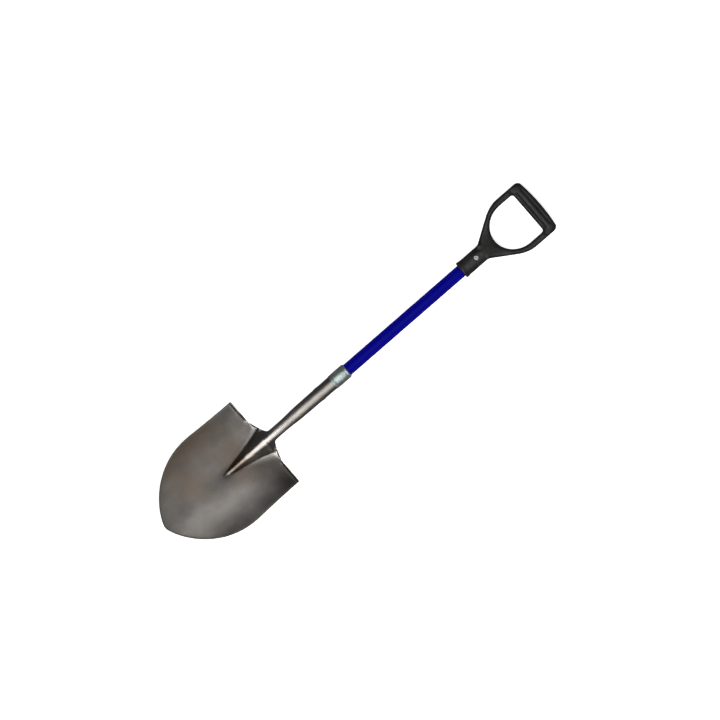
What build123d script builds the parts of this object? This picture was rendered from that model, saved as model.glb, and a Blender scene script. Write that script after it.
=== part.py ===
from build123d import *
import math
import os

# Round point shovel with a D-grip, lying on its back with the working face up.
# Millimetres. +X runs from the blade's point to the grip, +Z is up, and the
# origin is under the middle of the shovel's length, on the surface it lies on.

# Driving dimensions. A "reach" is a distance along X from the tread line, the
# straight rear edge of the blade: negative towards the blade's point, positive
# towards the grip.
TIP_REACH = -272.0
GRIP_END_REACH = 752.0
AXIS_HEIGHT = 19.0

# Blade: one sheet, dished both ways, with a hollow ridge running into the socket.
SHEET = 1.9
TREAD_HALF_WIDTH = 108.4
WIDEST_HALF_WIDTH = 111.2
WIDEST_REACH = -114.0
HEEL_DEPTH = 21.25
HEEL_SLOPE = math.tan(math.radians(12.5))
HEEL_SOFTNESS = 3.0
LENGTHWISE_DISH = 0.00052
DISH_RADIUS = 276.0
RIDGE_TOP = 13.0
RIDGE_FALL = 0.045
RIDGE_LENGTH = 108.0
RIDGE_HALF_BASE = 28.0
RIDGE_END_HALF_BASE = 5.5
RIDGE_FULLNESS = 1.4
RIDGE_SOFTNESS = 3.0
SKIRT_SHARE = 0.42
SKIRT_WIDTH = 1.75
SKIRT_LENGTH = 80.0
POINT_FULLNESS = 2.2
POINT_ROUNDNESS = 0.725
TIP_FLAT = 0.4
BLADE_STATIONS = 26
BLADE_STATION_POWER = 1.6
CENTRE_STEPS = 13
CENTRE_CLOSENESS = 0.3
CENTRE_SPREAD_POWER = 3.3
WING_STEPS = 6
SLOPE_STEP = 0.2

# Neck and socket: the same sheet, rolled round the shaft with a seam below.
NECK_REACH = 46.0
NECK_ROLL = 3.2
NECK_RADIUS = 12.2
NECK_END_REACH = 100.0
SHOULDER_HALF_WIDTH = 50.0
SOCKET_START_RADIUS = 14.3
MOUTH_REACH = 197.0
MOUTH_RADIUS = 15.2
SEAM_HALF_ANGLE = 9.0
SOCKET_STATIONS = 22
TURN_STEP = 0.004

# Turned steps: the rear edge bent forward, square to the shaft.
STEP_HEIGHT = 10.5
STEP_THICKNESS = 2.2
STEP_INNER_HALF_WIDTH = 53.0
STEP_RISE_WIDTH = 9.0
STEP_CORNER = 4.0
STEP_FOOT_POINTS = 6

# Shaft: a fibreglass tube with a core in each end.
SHAFT_RADIUS = 13.4
SHAFT_BORE_RADIUS = 9.5
SHAFT_START_RADIUS = 11.9
SHAFT_START_REACH = 92.0
SHAFT_END_REACH = 600.0
FIT_GAP = 0.05
LOWER_PLUG_LENGTH = 130.0
UPPER_PLUG_LENGTH = 60.0

# Collar over the socket's mouth.
COLLAR_START_REACH = 185.0
COLLAR_END_REACH = 225.0
COLLAR_RADIUS = 16.3
COLLAR_EDGE_ROUND = 0.6

# Rivets.
SOCKET_RIVET_REACH = 150.0
RIVET_SHANK_RADIUS = 2.9
SOCKET_RIVET_HEAD_RADIUS = 5.2
SOCKET_RIVET_HEAD_HEIGHT = 0.7
RIVET_SEAT_GAP = 0.1
GRIP_RIVET_REACH = 579.0
GRIP_RIVET_HEAD_RADIUS = 5.0
GRIP_RIVET_HEAD_HEIGHT = 1.2
GRIP_RIVET_HEAD_ROUND = 0.8
GRIP_RIVET_HOLE_RADIUS = 1.9
GRIP_RIVET_HOLE_DEPTH = 8.0
GRIP_RIVET_DIMPLE_RADIUS = 2.1
GRIP_RIVET_DIMPLE_DEPTH = 1.0
GRIP_WASHER_RADIUS = 7.0
GRIP_WASHER_THICKNESS = 1.2
GRIP_CLINCH_RADIUS = 4.2
GRIP_CLINCH_HEIGHT = 0.8
GRIP_SEAT_HEIGHT = 16.6
GRIP_SEAT_RADIUS = 7.6

# D-grip: one moulding.
GRIP_MOUTH_REACH = 538.0
GRIP_LIP_LENGTH = 6.0
GRIP_LIP_RADIUS = 19.0
GRIP_SOCKET_RADIUS = 18.0
GRIP_FLARE_REACH = 597.0
GRIP_BORE_END_REACH = 600.5
OPENING_APEX_REACH = 630.5
OPENING_STRAIGHT_REACH = 685.0
OPENING_END_REACH = 721.0
OPENING_HALF_WIDTH = 49.5
OPENING_CORNER = 6.5
GRIP_HALF_WIDTH = 63.8
GRIP_SHOULDER_REACH = 645.0
GRIP_SHOULDER_HALF_WIDTH = 50.0
GRIP_SIDE_REACH = 687.0
GRIP_CORNER_REACH = 747.0
GRIP_CORNER = 11.0
ARM_HALF_HEIGHT = 11.5
ARM_EDGE_ROUND = 4.5
BAR_HALF_HEIGHT = 16.0
BAR_EDGE_ROUND = 9.5
NOSE_INSET = 4.0

# Half the length of a tool that cuts right through whatever it meets.
THROUGH = 30.0

# X of the tread line once the origin is under the middle of the length.
TREAD_X = -(TIP_REACH + GRIP_END_REACH) / 2


def at(reach):
    """X of a place given by its reach from the tread line."""
    return TREAD_X + reach


def axis_point(reach, lateral=0.0, height=0.0):
    """A point given by its reach and its offsets from the shaft's axis."""
    return Vector(at(reach), lateral, AXIS_HEIGHT + height)


def disc(radius, reach):
    """A disc square to the shaft's axis."""
    return (Plane.YZ.offset(at(reach)) * Pos(0, AXIS_HEIGHT) * Circle(radius)).face()


def rod(radius, start, end):
    """A cylinder on the shaft's axis between two reaches."""
    return extrude(disc(radius, start), end - start, dir=(1, 0, 0))


def taper(start_radius, end_radius, start, end):
    """A truncated cone on the shaft's axis between two reaches."""
    return loft([disc(start_radius, start), disc(end_radius, end)], ruled=True)


def socket_radius(reach):
    """Outer radius of the rolled socket: narrow at the neck, widest at its mouth."""
    waist = max(0.0, min(1.0, (reach - NECK_REACH) / (NECK_END_REACH - NECK_REACH)))
    opening = (SOCKET_START_RADIUS - NECK_RADIUS) * waist * waist * (3 - 2 * waist)
    taper = max(0.0, (reach - NECK_END_REACH) / (MOUTH_REACH - NECK_END_REACH))
    return NECK_RADIUS + opening + (MOUTH_RADIUS - SOCKET_START_RADIUS) * taper


def belly(s):
    """Height of the dish along the blade's middle, s towards the point."""
    rise = HEEL_SLOPE * (s + math.hypot(s, HEEL_SOFTNESS)) / 2
    return -HEEL_DEPTH + rise + LENGTHWISE_DISH * max(s, 0.0) ** 2


def hill(across, fullness=1.0):
    """A smooth hill: 1 in the middle, 0 at 1 and beyond, broader with more fullness."""
    return (1 + math.cos(math.pi * min(abs(across), 1.0) ** fullness)) / 2


def blade_height(s, y):
    """Height of the working face over the shaft's axis, with the ridge on it."""
    narrowing = (RIDGE_HALF_BASE - RIDGE_END_HALF_BASE) / RIDGE_LENGTH
    half_base = max(RIDGE_END_HALF_BASE, RIDGE_HALF_BASE - narrowing * s)
    over = RIDGE_TOP - RIDGE_FALL * max(s, 0.0) - belly(s)
    ridge = (over + math.hypot(over, RIDGE_SOFTNESS)) / 2
    crown = hill(y / half_base, RIDGE_FULLNESS)
    skirt = hill(y / (half_base * SKIRT_WIDTH))
    share = SKIRT_SHARE * max(0.0, 1 - max(s, 0.0) / SKIRT_LENGTH)
    return belly(s) + y * y / (2 * DISH_RADIUS) + ridge * (crown + (skirt - crown) * share)


def blade_half_width(reach):
    """Half the blade's width: a rounded point, widest part way, then nearly straight."""
    from_tip = reach - TIP_REACH
    to_widest = WIDEST_REACH - TIP_REACH
    if from_tip < to_widest:
        share = 1 - (1 - from_tip / to_widest) ** POINT_FULLNESS
        return WIDEST_HALF_WIDTH * share**POINT_ROUNDNESS
    ease = (1 - (reach - WIDEST_REACH) / -WIDEST_REACH) ** 2
    return TREAD_HALF_WIDTH + (WIDEST_HALF_WIDTH - TREAD_HALF_WIDTH) * ease


def flat_point(reach, y, depth):
    """A point of the blade's section at a reach, that far behind its working face."""
    z = blade_height(-reach, y)
    rise = blade_height(-reach, y + SLOPE_STEP) - blade_height(-reach, y - SLOPE_STEP)
    slope = rise / (2 * SLOPE_STEP)
    length = math.hypot(1, slope)
    return axis_point(reach, y + slope * depth / length, z - depth / length)


def rolled_point(reach, t, depth):
    """A point of the neck's or socket's section, that far inside its outer face.

    The section is the blade's own at the tread line, and rolls round the
    shaft's axis until its two ends, t = -1 and t = 1, nearly meet under it.
    """
    rolled = 1.0 - max(0.0, 1.0 - reach / NECK_REACH) ** NECK_ROLL
    wrap = math.radians(180 - SEAM_HALF_ANGLE)
    radius = socket_radius(reach)

    def place(t):
        flat_y = centre_spread(t) * SHOULDER_HALF_WIDTH
        flat_z = blade_height(0.0, flat_y)
        y = flat_y + (radius * math.sin(t * wrap) - flat_y) * rolled
        z = flat_z + (radius * math.cos(t * wrap) - flat_z) * rolled
        return y, z

    y, z = place(t)
    y_after, z_after = place(t + TURN_STEP)
    y_before, z_before = place(t - TURN_STEP)
    length = math.hypot(y_after - y_before, z_after - z_before)
    in_y = (z_after - z_before) / length
    in_z = -(y_after - y_before) / length
    return axis_point(reach, y + in_y * depth, z + in_z * depth)


def centre_spread(t):
    """Spreads points across the middle of a section, closest on the ridge."""
    even = CENTRE_CLOSENESS * abs(t)
    return math.copysign(even + (1 - CENTRE_CLOSENESS) * abs(t) ** CENTRE_SPREAD_POWER, t)


def centre_section(reach):
    """Outer and inner edges of the middle of the sheet, which becomes the socket."""
    shares = [k / CENTRE_STEPS for k in range(-CENTRE_STEPS, CENTRE_STEPS + 1)]
    if reach > 0:
        skins = [[rolled_point(reach, t, depth) for t in shares] for depth in (0, SHEET)]
    else:
        half = blade_half_width(reach) * SHOULDER_HALF_WIDTH / TREAD_HALF_WIDTH
        lateral = [half * centre_spread(t) for t in shares]
        skins = [[flat_point(reach, y, depth) for y in lateral] for depth in (0, SHEET)]
    return [Edge.make_spline(points) for points in skins]


def wing_section(reach, side):
    """Outer and inner edges of the sheet from its middle part to its side."""
    width = blade_half_width(reach)
    inner_share = SHOULDER_HALF_WIDTH / TREAD_HALF_WIDTH
    shares = [inner_share + (1 - inner_share) * k / WING_STEPS for k in range(WING_STEPS + 1)]
    lateral = [side * width * share for share in shares]
    skins = [[flat_point(reach, y, depth) for y in lateral] for depth in (0, SHEET)]
    return [Edge.make_spline(points) for points in skins]


def edge_line(section, end):
    """The line through the sheet's thickness at one end of a section."""
    return Edge.make_line(section[0] @ end, section[1] @ end)


def skins_between(sections):
    """Ruled faces of both skins through a row of sections."""
    pairs = zip(sections, sections[1:])
    return [Face.make_surface_from_curves(a[k], b[k]) for a, b in pairs for k in (0, 1)]


def edges_between(sections, end):
    """Ruled faces of the sheet's cut edge through a row of sections."""
    pairs = zip(sections, sections[1:])
    return [
        Face.make_surface_from_curves(edge_line(a, end), edge_line(b, end)) for a, b in pairs
    ]


def end_face(section):
    """The sheet's cut face across a section."""
    return Face(Wire([section[0], edge_line(section, 1), section[1], edge_line(section, 0)]))


def formed_sheet():
    """Blade, neck and socket as one closed sheet."""
    shares = [i / BLADE_STATIONS for i in range(1, BLADE_STATIONS + 1)]
    blade_reaches = [TIP_REACH * (1 - share**BLADE_STATION_POWER) for share in shares]
    blade_reaches.insert(0, TIP_REACH + TIP_FLAT)
    shares = [i / SOCKET_STATIONS for i in range(1, SOCKET_STATIONS + 1)]
    socket_reaches = [MOUTH_REACH * share**2 for share in shares]
    before = [centre_section(reach) for reach in blade_reaches]
    after = [before[-1]] + [centre_section(reach) for reach in socket_reaches]
    faces = skins_between(before) + skins_between(after)
    faces += [end_face(before[0]), end_face(after[-1])]
    faces += edges_between(after, 0) + edges_between(after, 1)
    for side in (-1, 1):
        wing = [wing_section(reach, side) for reach in blade_reaches]
        faces += skins_between(wing) + edges_between(wing, 1)
        faces += [end_face(wing[0]), end_face(wing[-1])]
    return Solid(Shell(faces))


def step_plate(side):
    """One turned step, from the sheet's back up to its folded edge."""
    width = TREAD_HALF_WIDTH - STEP_INNER_HALF_WIDTH
    foot = []
    for k in range(STEP_FOOT_POINTS + 1):
        y = STEP_INNER_HALF_WIDTH + width * k / STEP_FOOT_POINTS
        foot.append((side * y, AXIS_HEIGHT + blade_height(0.0, y) - SHEET / 2))
    rise = SHEET / 2 + STEP_HEIGHT
    inner = (foot[0][0] + side * STEP_RISE_WIDTH, foot[0][1] + rise)
    shoulder = (foot[-1][0] - side * STEP_CORNER, foot[-1][1] + rise)
    outer = (foot[-1][0], foot[-1][1] + rise - STEP_CORNER)
    edges = [Spline(*foot), Polyline(foot[-1], outer, shoulder, inner, foot[0])]
    plane = Plane.YZ.offset(at(-STEP_THICKNESS))
    return extrude(plane * make_face(edges), STEP_THICKNESS, dir=(1, 0, 0))


def crosswise(radius, reach, half_length):
    """A cylinder across the shaft, from side to side."""
    return Plane(axis_point(reach), z_dir=(0, 1, 0)) * Cylinder(radius, 2 * half_length)


def upright(radius, reach, low, high):
    """A cylinder through the shaft from back to front, between two heights."""
    return Plane(axis_point(reach, 0, low)) * extrude(Circle(radius), high - low)


def blade():
    """Blade, turned steps and rolled socket, stamped from one sheet."""
    body = formed_sheet()
    for side in (-1, 1):
        body = body + step_plate(side)
    return body - crosswise(RIVET_SHANK_RADIUS, SOCKET_RIVET_REACH, THROUGH)


def socket_collar():
    """Sleeve over the socket's mouth, stepped down onto the shaft."""
    body = rod(COLLAR_RADIUS, COLLAR_START_REACH, COLLAR_END_REACH)
    body = fillet(body.edges().filter_by(GeomType.CIRCLE), COLLAR_EDGE_ROUND)
    over_socket = MOUTH_RADIUS + FIT_GAP
    body = body - rod(over_socket, COLLAR_START_REACH, MOUTH_REACH)
    return body - rod(SHAFT_RADIUS + FIT_GAP, COLLAR_START_REACH, COLLAR_END_REACH)


def shaft_tube():
    """Fibreglass tube, tapered where it is driven into the socket."""
    mouth_radius = MOUTH_RADIUS - SHEET - FIT_GAP
    body = rod(SHAFT_RADIUS, MOUTH_REACH, SHAFT_END_REACH)
    body = body + taper(SHAFT_START_RADIUS, mouth_radius, SHAFT_START_REACH, MOUTH_REACH)
    body = body - rod(SHAFT_BORE_RADIUS, SHAFT_START_REACH, SHAFT_END_REACH)
    body = body - crosswise(RIVET_SHANK_RADIUS, SOCKET_RIVET_REACH, THROUGH)
    return body - upright(RIVET_SHANK_RADIUS, GRIP_RIVET_REACH, -THROUGH, THROUGH)


def lower_core_plug():
    """Core that stiffens the tube inside the socket."""
    end = SHAFT_START_REACH + LOWER_PLUG_LENGTH
    body = rod(SHAFT_BORE_RADIUS, SHAFT_START_REACH, end)
    return body - crosswise(RIVET_SHANK_RADIUS, SOCKET_RIVET_REACH, THROUGH)


def upper_core_plug():
    """Core that stiffens the tube where the grip is riveted."""
    body = rod(SHAFT_BORE_RADIUS, SHAFT_END_REACH - UPPER_PLUG_LENGTH, SHAFT_END_REACH)
    return body - upright(RIVET_SHANK_RADIUS, GRIP_RIVET_REACH, -THROUGH, THROUGH)


def socket_rivet():
    """Solid rivet across the socket, headed flat on both sides."""
    seat = socket_radius(SOCKET_RIVET_REACH) + RIVET_SEAT_GAP
    half_length = seat + SOCKET_RIVET_HEAD_HEIGHT
    heads = crosswise(SOCKET_RIVET_HEAD_RADIUS, SOCKET_RIVET_REACH, half_length)
    heads = heads - rod(seat, SOCKET_RIVET_REACH - THROUGH, SOCKET_RIVET_REACH + THROUGH)
    return heads + crosswise(RIVET_SHANK_RADIUS, SOCKET_RIVET_REACH, seat)


def grip_rivet():
    """Semi-tubular rivet through the grip and shaft, with its head on the front."""
    reach = GRIP_RIVET_REACH
    top = GRIP_SEAT_HEIGHT + GRIP_RIVET_HEAD_HEIGHT
    bottom = -GRIP_SEAT_HEIGHT - GRIP_WASHER_THICKNESS
    tail = bottom - GRIP_CLINCH_HEIGHT
    head = upright(GRIP_RIVET_HEAD_RADIUS, reach, GRIP_SEAT_HEIGHT, top)
    head = fillet(head.edges().group_by(Axis.Z)[-1], GRIP_RIVET_HEAD_ROUND)
    body = upright(RIVET_SHANK_RADIUS, reach, bottom, top) + head
    body = body + upright(GRIP_CLINCH_RADIUS, reach, tail, bottom)
    body = body - upright(GRIP_RIVET_HOLE_RADIUS, reach, tail, tail + GRIP_RIVET_HOLE_DEPTH)
    return body - upright(GRIP_RIVET_DIMPLE_RADIUS, reach, top - GRIP_RIVET_DIMPLE_DEPTH, top)


def grip_rivet_washer():
    """Washer under the rivet's clinched end, at the back of the grip."""
    bottom = -GRIP_SEAT_HEIGHT - GRIP_WASHER_THICKNESS
    body = upright(GRIP_WASHER_RADIUS, GRIP_RIVET_REACH, bottom, -GRIP_SEAT_HEIGHT)
    return body - upright(RIVET_SHANK_RADIUS, GRIP_RIVET_REACH, -THROUGH, THROUGH)


def grip_outline():
    """Plan of the D-grip from its flare to the end of the bar."""
    side = [
        (GRIP_FLARE_REACH, GRIP_SOCKET_RADIUS),
        (GRIP_SHOULDER_REACH, GRIP_SHOULDER_HALF_WIDTH),
        (GRIP_SIDE_REACH, GRIP_HALF_WIDTH),
        (GRIP_CORNER_REACH, GRIP_HALF_WIDTH),
    ]
    flare, shoulder, straight, corner = [(at(reach), y) for reach, y in side]
    slope = (shoulder[0] - flare[0], shoulder[1] - flare[1])
    first = Line(flare, shoulder)
    second = Spline(shoulder, straight, tangents=[slope, (1, 0)])
    third = Line(straight, corner)
    back_corner = (corner[0], -corner[1])
    end = ThreePointArc(corner, (at(GRIP_END_REACH), 0), back_corner)
    back_straight = (straight[0], -straight[1])
    back_shoulder = (shoulder[0], -shoulder[1])
    back_flare = (flare[0], -flare[1])
    fourth = Line(back_corner, back_straight)
    fifth = Spline(back_straight, back_shoulder, tangents=[(-1, 0), (-slope[0], slope[1])])
    sixth = Line(back_shoulder, back_flare)
    face = make_face([first, second, third, end, fourth, fifth, sixth, Line(back_flare, flare)])
    corners = face.vertices().sort_by(Axis.X)[-2:]
    return fillet(corners, GRIP_CORNER)


def grip_opening():
    """Plan of the hand opening: half an ellipse, then a straight-sided end."""
    length = OPENING_STRAIGHT_REACH - OPENING_APEX_REACH
    round_end = Pos(at(OPENING_STRAIGHT_REACH), 0) * Ellipse(length, OPENING_HALF_WIDTH)
    straight = OPENING_END_REACH - OPENING_STRAIGHT_REACH
    block = Pos(at(OPENING_STRAIGHT_REACH) + straight / 2, 0) * Rectangle(
        straight, 2 * OPENING_HALF_WIDTH
    )
    block = fillet(block.vertices().sort_by(Axis.X)[-2:], OPENING_CORNER)
    half_plan = Rectangle(2 * length, 3 * OPENING_HALF_WIDTH)
    keep = Pos(at(OPENING_STRAIGHT_REACH) - length, 0) * half_plan
    return (round_end & keep) + block


def slab(face, half_height):
    """A plan shape given its height both ways from the shaft's axis."""
    return Pos(0, 0, AXIS_HEIGHT - half_height) * extrude(face, 2 * half_height)


def d_grip():
    """One-piece D-grip: socket, flared arms and hand bar."""
    frame = slab(grip_outline(), ARM_HALF_HEIGHT) - slab(grip_opening(), ARM_HALF_HEIGHT)
    frame = fillet(frame.edges().filter_by(Plane.XY), ARM_EDGE_ROUND)
    bar_middle = (OPENING_END_REACH + GRIP_END_REACH) / 2
    bar_depth = GRIP_END_REACH - OPENING_END_REACH
    bar_plan = grip_outline() & (Pos(at(bar_middle), 0) * Rectangle(bar_depth, 3 * GRIP_HALF_WIDTH))
    bar = slab(bar_plan, BAR_HALF_HEIGHT)
    bar = fillet(bar.edges().filter_by(Plane.XY), BAR_EDGE_ROUND)
    socket = rod(GRIP_SOCKET_RADIUS, GRIP_MOUTH_REACH, GRIP_FLARE_REACH)
    nose_end = OPENING_APEX_REACH - NOSE_INSET
    nose = taper(GRIP_SOCKET_RADIUS, ARM_HALF_HEIGHT, GRIP_FLARE_REACH, nose_end)
    lip = rod(GRIP_LIP_RADIUS, GRIP_MOUTH_REACH, GRIP_MOUTH_REACH + GRIP_LIP_LENGTH)
    body = frame + bar + socket + nose + lip
    body = body - rod(SHAFT_RADIUS + FIT_GAP, GRIP_MOUTH_REACH, GRIP_BORE_END_REACH)
    body = body - upright(GRIP_SEAT_RADIUS, GRIP_RIVET_REACH, GRIP_SEAT_HEIGHT, THROUGH)
    body = body - upright(GRIP_SEAT_RADIUS, GRIP_RIVET_REACH, -THROUGH, -GRIP_SEAT_HEIGHT)
    return body - upright(RIVET_SHANK_RADIUS, GRIP_RIVET_REACH, -THROUGH, THROUGH)


if __name__ == "__main__":
    os.makedirs("parts", exist_ok=True)
    pieces = (
        blade,
        socket_rivet,
        socket_collar,
        lower_core_plug,
        shaft_tube,
        upper_core_plug,
        d_grip,
        grip_rivet,
        grip_rivet_washer,
    )
    for piece in pieces:
        export_step(piece(), f"parts/{piece.__name__}.step")
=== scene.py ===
"""The looks of a round point shovel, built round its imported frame.

Everything is in metres, in the frame's own axes: +X runs from the blade's
point to the D-grip and +Z is up, out of the working face. A "reach" is a
distance along X from the tread line, the straight rear edge of the blade.
"""

import logging
import math
from collections.abc import Iterable
from dataclasses import dataclass
from enum import Enum

import bmesh
import bpy
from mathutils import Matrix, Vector


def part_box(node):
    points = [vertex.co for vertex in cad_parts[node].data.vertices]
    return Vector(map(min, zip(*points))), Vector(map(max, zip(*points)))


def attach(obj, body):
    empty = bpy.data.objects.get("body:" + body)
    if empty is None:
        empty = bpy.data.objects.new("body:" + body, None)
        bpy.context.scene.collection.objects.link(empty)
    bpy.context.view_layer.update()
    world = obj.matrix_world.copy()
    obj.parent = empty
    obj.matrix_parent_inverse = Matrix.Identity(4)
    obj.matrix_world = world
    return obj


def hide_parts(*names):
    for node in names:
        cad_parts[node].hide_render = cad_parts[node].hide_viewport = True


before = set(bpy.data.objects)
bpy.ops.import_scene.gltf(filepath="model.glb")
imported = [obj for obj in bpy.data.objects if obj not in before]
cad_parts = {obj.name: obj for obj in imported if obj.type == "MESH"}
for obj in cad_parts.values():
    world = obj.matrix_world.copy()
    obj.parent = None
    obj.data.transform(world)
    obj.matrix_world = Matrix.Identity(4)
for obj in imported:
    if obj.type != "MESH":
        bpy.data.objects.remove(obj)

LOG = logging.getLogger("shovel")
MM = 0.001
Point = tuple[float, float]
Corner = tuple[float, float, float]
Colour = tuple[float, float, float]
Scale = tuple[float, float, float]
ALONG = Vector((1, 0, 0))
UP = Vector((0, 0, 1))

# Vertices nearer than WELD are one. HAIR, a length, and SLACK, a share of a
# line, are the play allowed where a line is looked for.
WELD = 1e-6
HAIR = 1e-9
SLACK = 1e-6

# Reaches and heights that more than one piece shares.
SHAFT_START = 92.0 * MM
SOCKET_MOUTH = 197.0 * MM
GRIP_RIVET_REACH = 579.0 * MM
GRIP_RIVET_SEAT = 16.6 * MM


class Face(Enum):
    """The shovel's two faces, by the sign of Z."""

    FRONT = 1
    BACK = -1


class Slot(Enum):
    """The record's material slots, by name, which the log gives for each new piece."""

    STEEL = "blade_steel"
    COLLAR = "collar_steel"
    FIBREGLASS = "blue_fibreglass"
    MOULDING = "black_moulding"
    RIVET = "rivet_steel"


def smooth(value: float, start: float, end: float) -> float:
    """Rise smoothly from 0 at start to 1 at end.

    Args:
        value: The place to look at.
        start: Where the rise begins.
        end: Where the rise ends.

    Returns:
        A share between 0 and 1.
    """
    share = min(max((value - start) / (end - start), 0.0), 1.0)
    return share * share * (3 - 2 * share)


def mix(first: float, second: float, share: float) -> float:
    """Return the value that lies that share of the way from first to second."""
    return first + (second - first) * share


# ---------------------------------------------------------------- node maths


class Field:
    """A number that runs through a node tree, written as ordinary maths."""

    def __init__(self, tree: bpy.types.NodeTree, socket: bpy.types.NodeSocket) -> None:
        """Hold an output socket of a tree."""
        self.tree = tree
        self.socket = socket

    def maths(self, operation: str, *others: "Field | float") -> "Field":
        """Join this field and others in a Math node.

        Args:
            operation: The Math node's operation.
            others: Fields or plain numbers for the node's other inputs.

        Returns:
            The node's result.
        """
        node = self.tree.nodes.new("ShaderNodeMath")
        node.operation = operation
        for socket, value in zip(node.inputs, (self, *others)):
            if isinstance(value, Field):
                self.tree.links.new(value.socket, socket)
            else:
                socket.default_value = value
        return Field(self.tree, node.outputs[0])

    def __add__(self, other: "Field | float") -> "Field":
        """Return the sum."""
        return self.maths("ADD", other)

    def __sub__(self, other: "Field | float") -> "Field":
        """Return the difference."""
        return self.maths("SUBTRACT", other)

    def __mul__(self, other: "Field | float") -> "Field":
        """Return the product."""
        return self.maths("MULTIPLY", other)

    def __truediv__(self, other: "Field | float") -> "Field":
        """Return the quotient."""
        return self.maths("DIVIDE", other)

    def at_least(self, other: "Field | float") -> "Field":
        """Return the larger of the two."""
        return self.maths("MAXIMUM", other)

    def at_most(self, other: "Field | float") -> "Field":
        """Return the smaller of the two."""
        return self.maths("MINIMUM", other)

    def clipped(self) -> "Field":
        """Return the value, held between 0 and 1."""
        return self.at_least(0.0).at_most(1.0)

    def rise(self, start: float, rate: float) -> "Field":
        """Return 0 at start, rising to 1 at that rate per metre, or backwards if it is negative."""
        return ((self - start) * rate).clipped()

    def soft_positive(self, softness: "Field | float") -> "Field":
        """Return the value where it is positive, easing to 0 where it is negative."""
        root = (self * self + square(softness)).maths("SQRT")
        return (self + root) * 0.5

    def hill(self, fullness: "Field | float") -> "Field":
        """Return a hill: 1 where this is 0, falling smoothly to 0 at 1 and beyond."""
        turn = self.maths("ABSOLUTE").at_most(1.0).maths("POWER", fullness) * math.pi
        return (turn.maths("COSINE") + 1.0) * 0.5


def square(value: "Field | float") -> "Field | float":
    """Return the value times itself."""
    return value * value


def wire(tree: bpy.types.NodeTree, *ends: tuple[bpy.types.NodeSocket, bpy.types.NodeSocket]) -> None:
    """Link each pair of sockets, output first."""
    for source, target in ends:
        tree.links.new(source, target)


class FormTree:
    """A Geometry Nodes tree with named sizes, and the modifier that runs it once."""

    def __init__(self, name: str, sizes: dict[str, float]) -> None:
        """Start a tree.

        Args:
            name: The tree's name.
            sizes: Its named inputs and their values.
        """
        self.tree = bpy.data.node_groups.new(name, "GeometryNodeTree")
        face = self.tree.interface
        face.new_socket("Geometry", in_out="INPUT", socket_type="NodeSocketGeometry")
        self.values: dict[str, float] = {}
        for label, value in sizes.items():
            socket = face.new_socket(label, in_out="INPUT", socket_type="NodeSocketFloat")
            self.values[socket.identifier] = value
        face.new_socket("Geometry", in_out="OUTPUT", socket_type="NodeSocketGeometry")
        self.inputs = self.tree.nodes.new("NodeGroupInput")
        self.output = self.tree.nodes.new("NodeGroupOutput")

    def node(self, kind: str, **settings: object) -> bpy.types.Node:
        """Add a node and set its properties.

        Args:
            kind: The node's type.
            settings: Properties of the node, by name.

        Returns:
            The node.
        """
        node = self.tree.nodes.new(kind)
        for name, value in settings.items():
            setattr(node, name, value)
        return node

    def size(self, label: str) -> Field:
        """Return one of the tree's named sizes."""
        return Field(self.tree, self.inputs.outputs[label])

    def close(self, geometry: bpy.types.NodeSocket, material: bpy.types.Material) -> None:
        """End the tree in Realize Instances and Set Material.

        Args:
            geometry: The finished geometry.
            material: The finish that the piece gets.
        """
        realize = self.node("GeometryNodeRealizeInstances")
        dress = self.node("GeometryNodeSetMaterial")
        dress.inputs["Material"].default_value = material
        wire(
            self.tree,
            (geometry, realize.inputs["Geometry"]),
            (realize.outputs["Geometry"], dress.inputs["Geometry"]),
            (dress.outputs["Geometry"], self.output.inputs["Geometry"]),
        )

    def form(self, piece: bpy.types.Object) -> None:
        """Run the tree on a piece, and leave the result as its plain mesh."""
        modifier = piece.modifiers.new(self.tree.name, "NODES")
        modifier.node_group = self.tree
        for identifier, value in self.values.items():
            modifier[identifier] = value
        settle(piece)


# ---------------------------------------------------------------- mesh helpers


def new_piece(name: str, points: Iterable[Vector], faces: Iterable[tuple[int, ...]]) -> bpy.types.Object:
    """Make a mesh object, linked to the scene, with its place in its mesh.

    Args:
        name: The piece's name.
        points: Its vertices.
        faces: Its faces, as tuples of vertex numbers.

    Returns:
        The object.
    """
    mesh = bpy.data.meshes.new(name)
    mesh.from_pydata([tuple(point) for point in points], [], [tuple(face) for face in faces])
    piece = bpy.data.objects.new(name, mesh)
    bpy.context.scene.collection.objects.link(piece)
    return piece


def settle(piece: bpy.types.Object) -> None:
    """Turn a piece's modifiers into its plain mesh."""
    bpy.context.view_layer.update()
    graph = bpy.context.evaluated_depsgraph_get()
    settled = bpy.data.meshes.new_from_object(piece.evaluated_get(graph), depsgraph=graph)
    old = piece.data
    piece.modifiers.clear()
    piece.data = settled
    settled.name = piece.name
    bpy.data.meshes.remove(old)


def tidy_mesh(piece: bpy.types.Object, outward: bool = True) -> None:
    """Weld a piece's doubled vertices, point its faces outwards and shade it smooth.

    Args:
        piece: The piece.
        outward: Whether to work out the outside, which an open sheet can't have.
    """
    work = bmesh.new()
    work.from_mesh(piece.data)
    bmesh.ops.remove_doubles(work, verts=work.verts, dist=WELD)
    bmesh.ops.dissolve_degenerate(work, dist=WELD, edges=work.edges)
    if outward:
        bmesh.ops.recalc_face_normals(work, faces=work.faces)
    for face in work.faces:
        face.smooth = True
    work.to_mesh(piece.data)
    work.free()


def grid_faces(rows: int, columns: int, wrap: bool = False) -> list[tuple[int, ...]]:
    """Lay quads over a grid of vertices that is stored row by row.

    Args:
        rows: How many rows of vertices.
        columns: How many vertices in a row.
        wrap: Whether the last column joins the first.

    Returns:
        The faces.
    """
    faces = []
    for i in range(rows - 1):
        for j in range(columns if wrap else columns - 1):
            after = (j + 1) % columns
            low = i * columns
            high = low + columns
            faces.append((low + j, low + after, high + after, high + j))
    return faces


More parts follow.
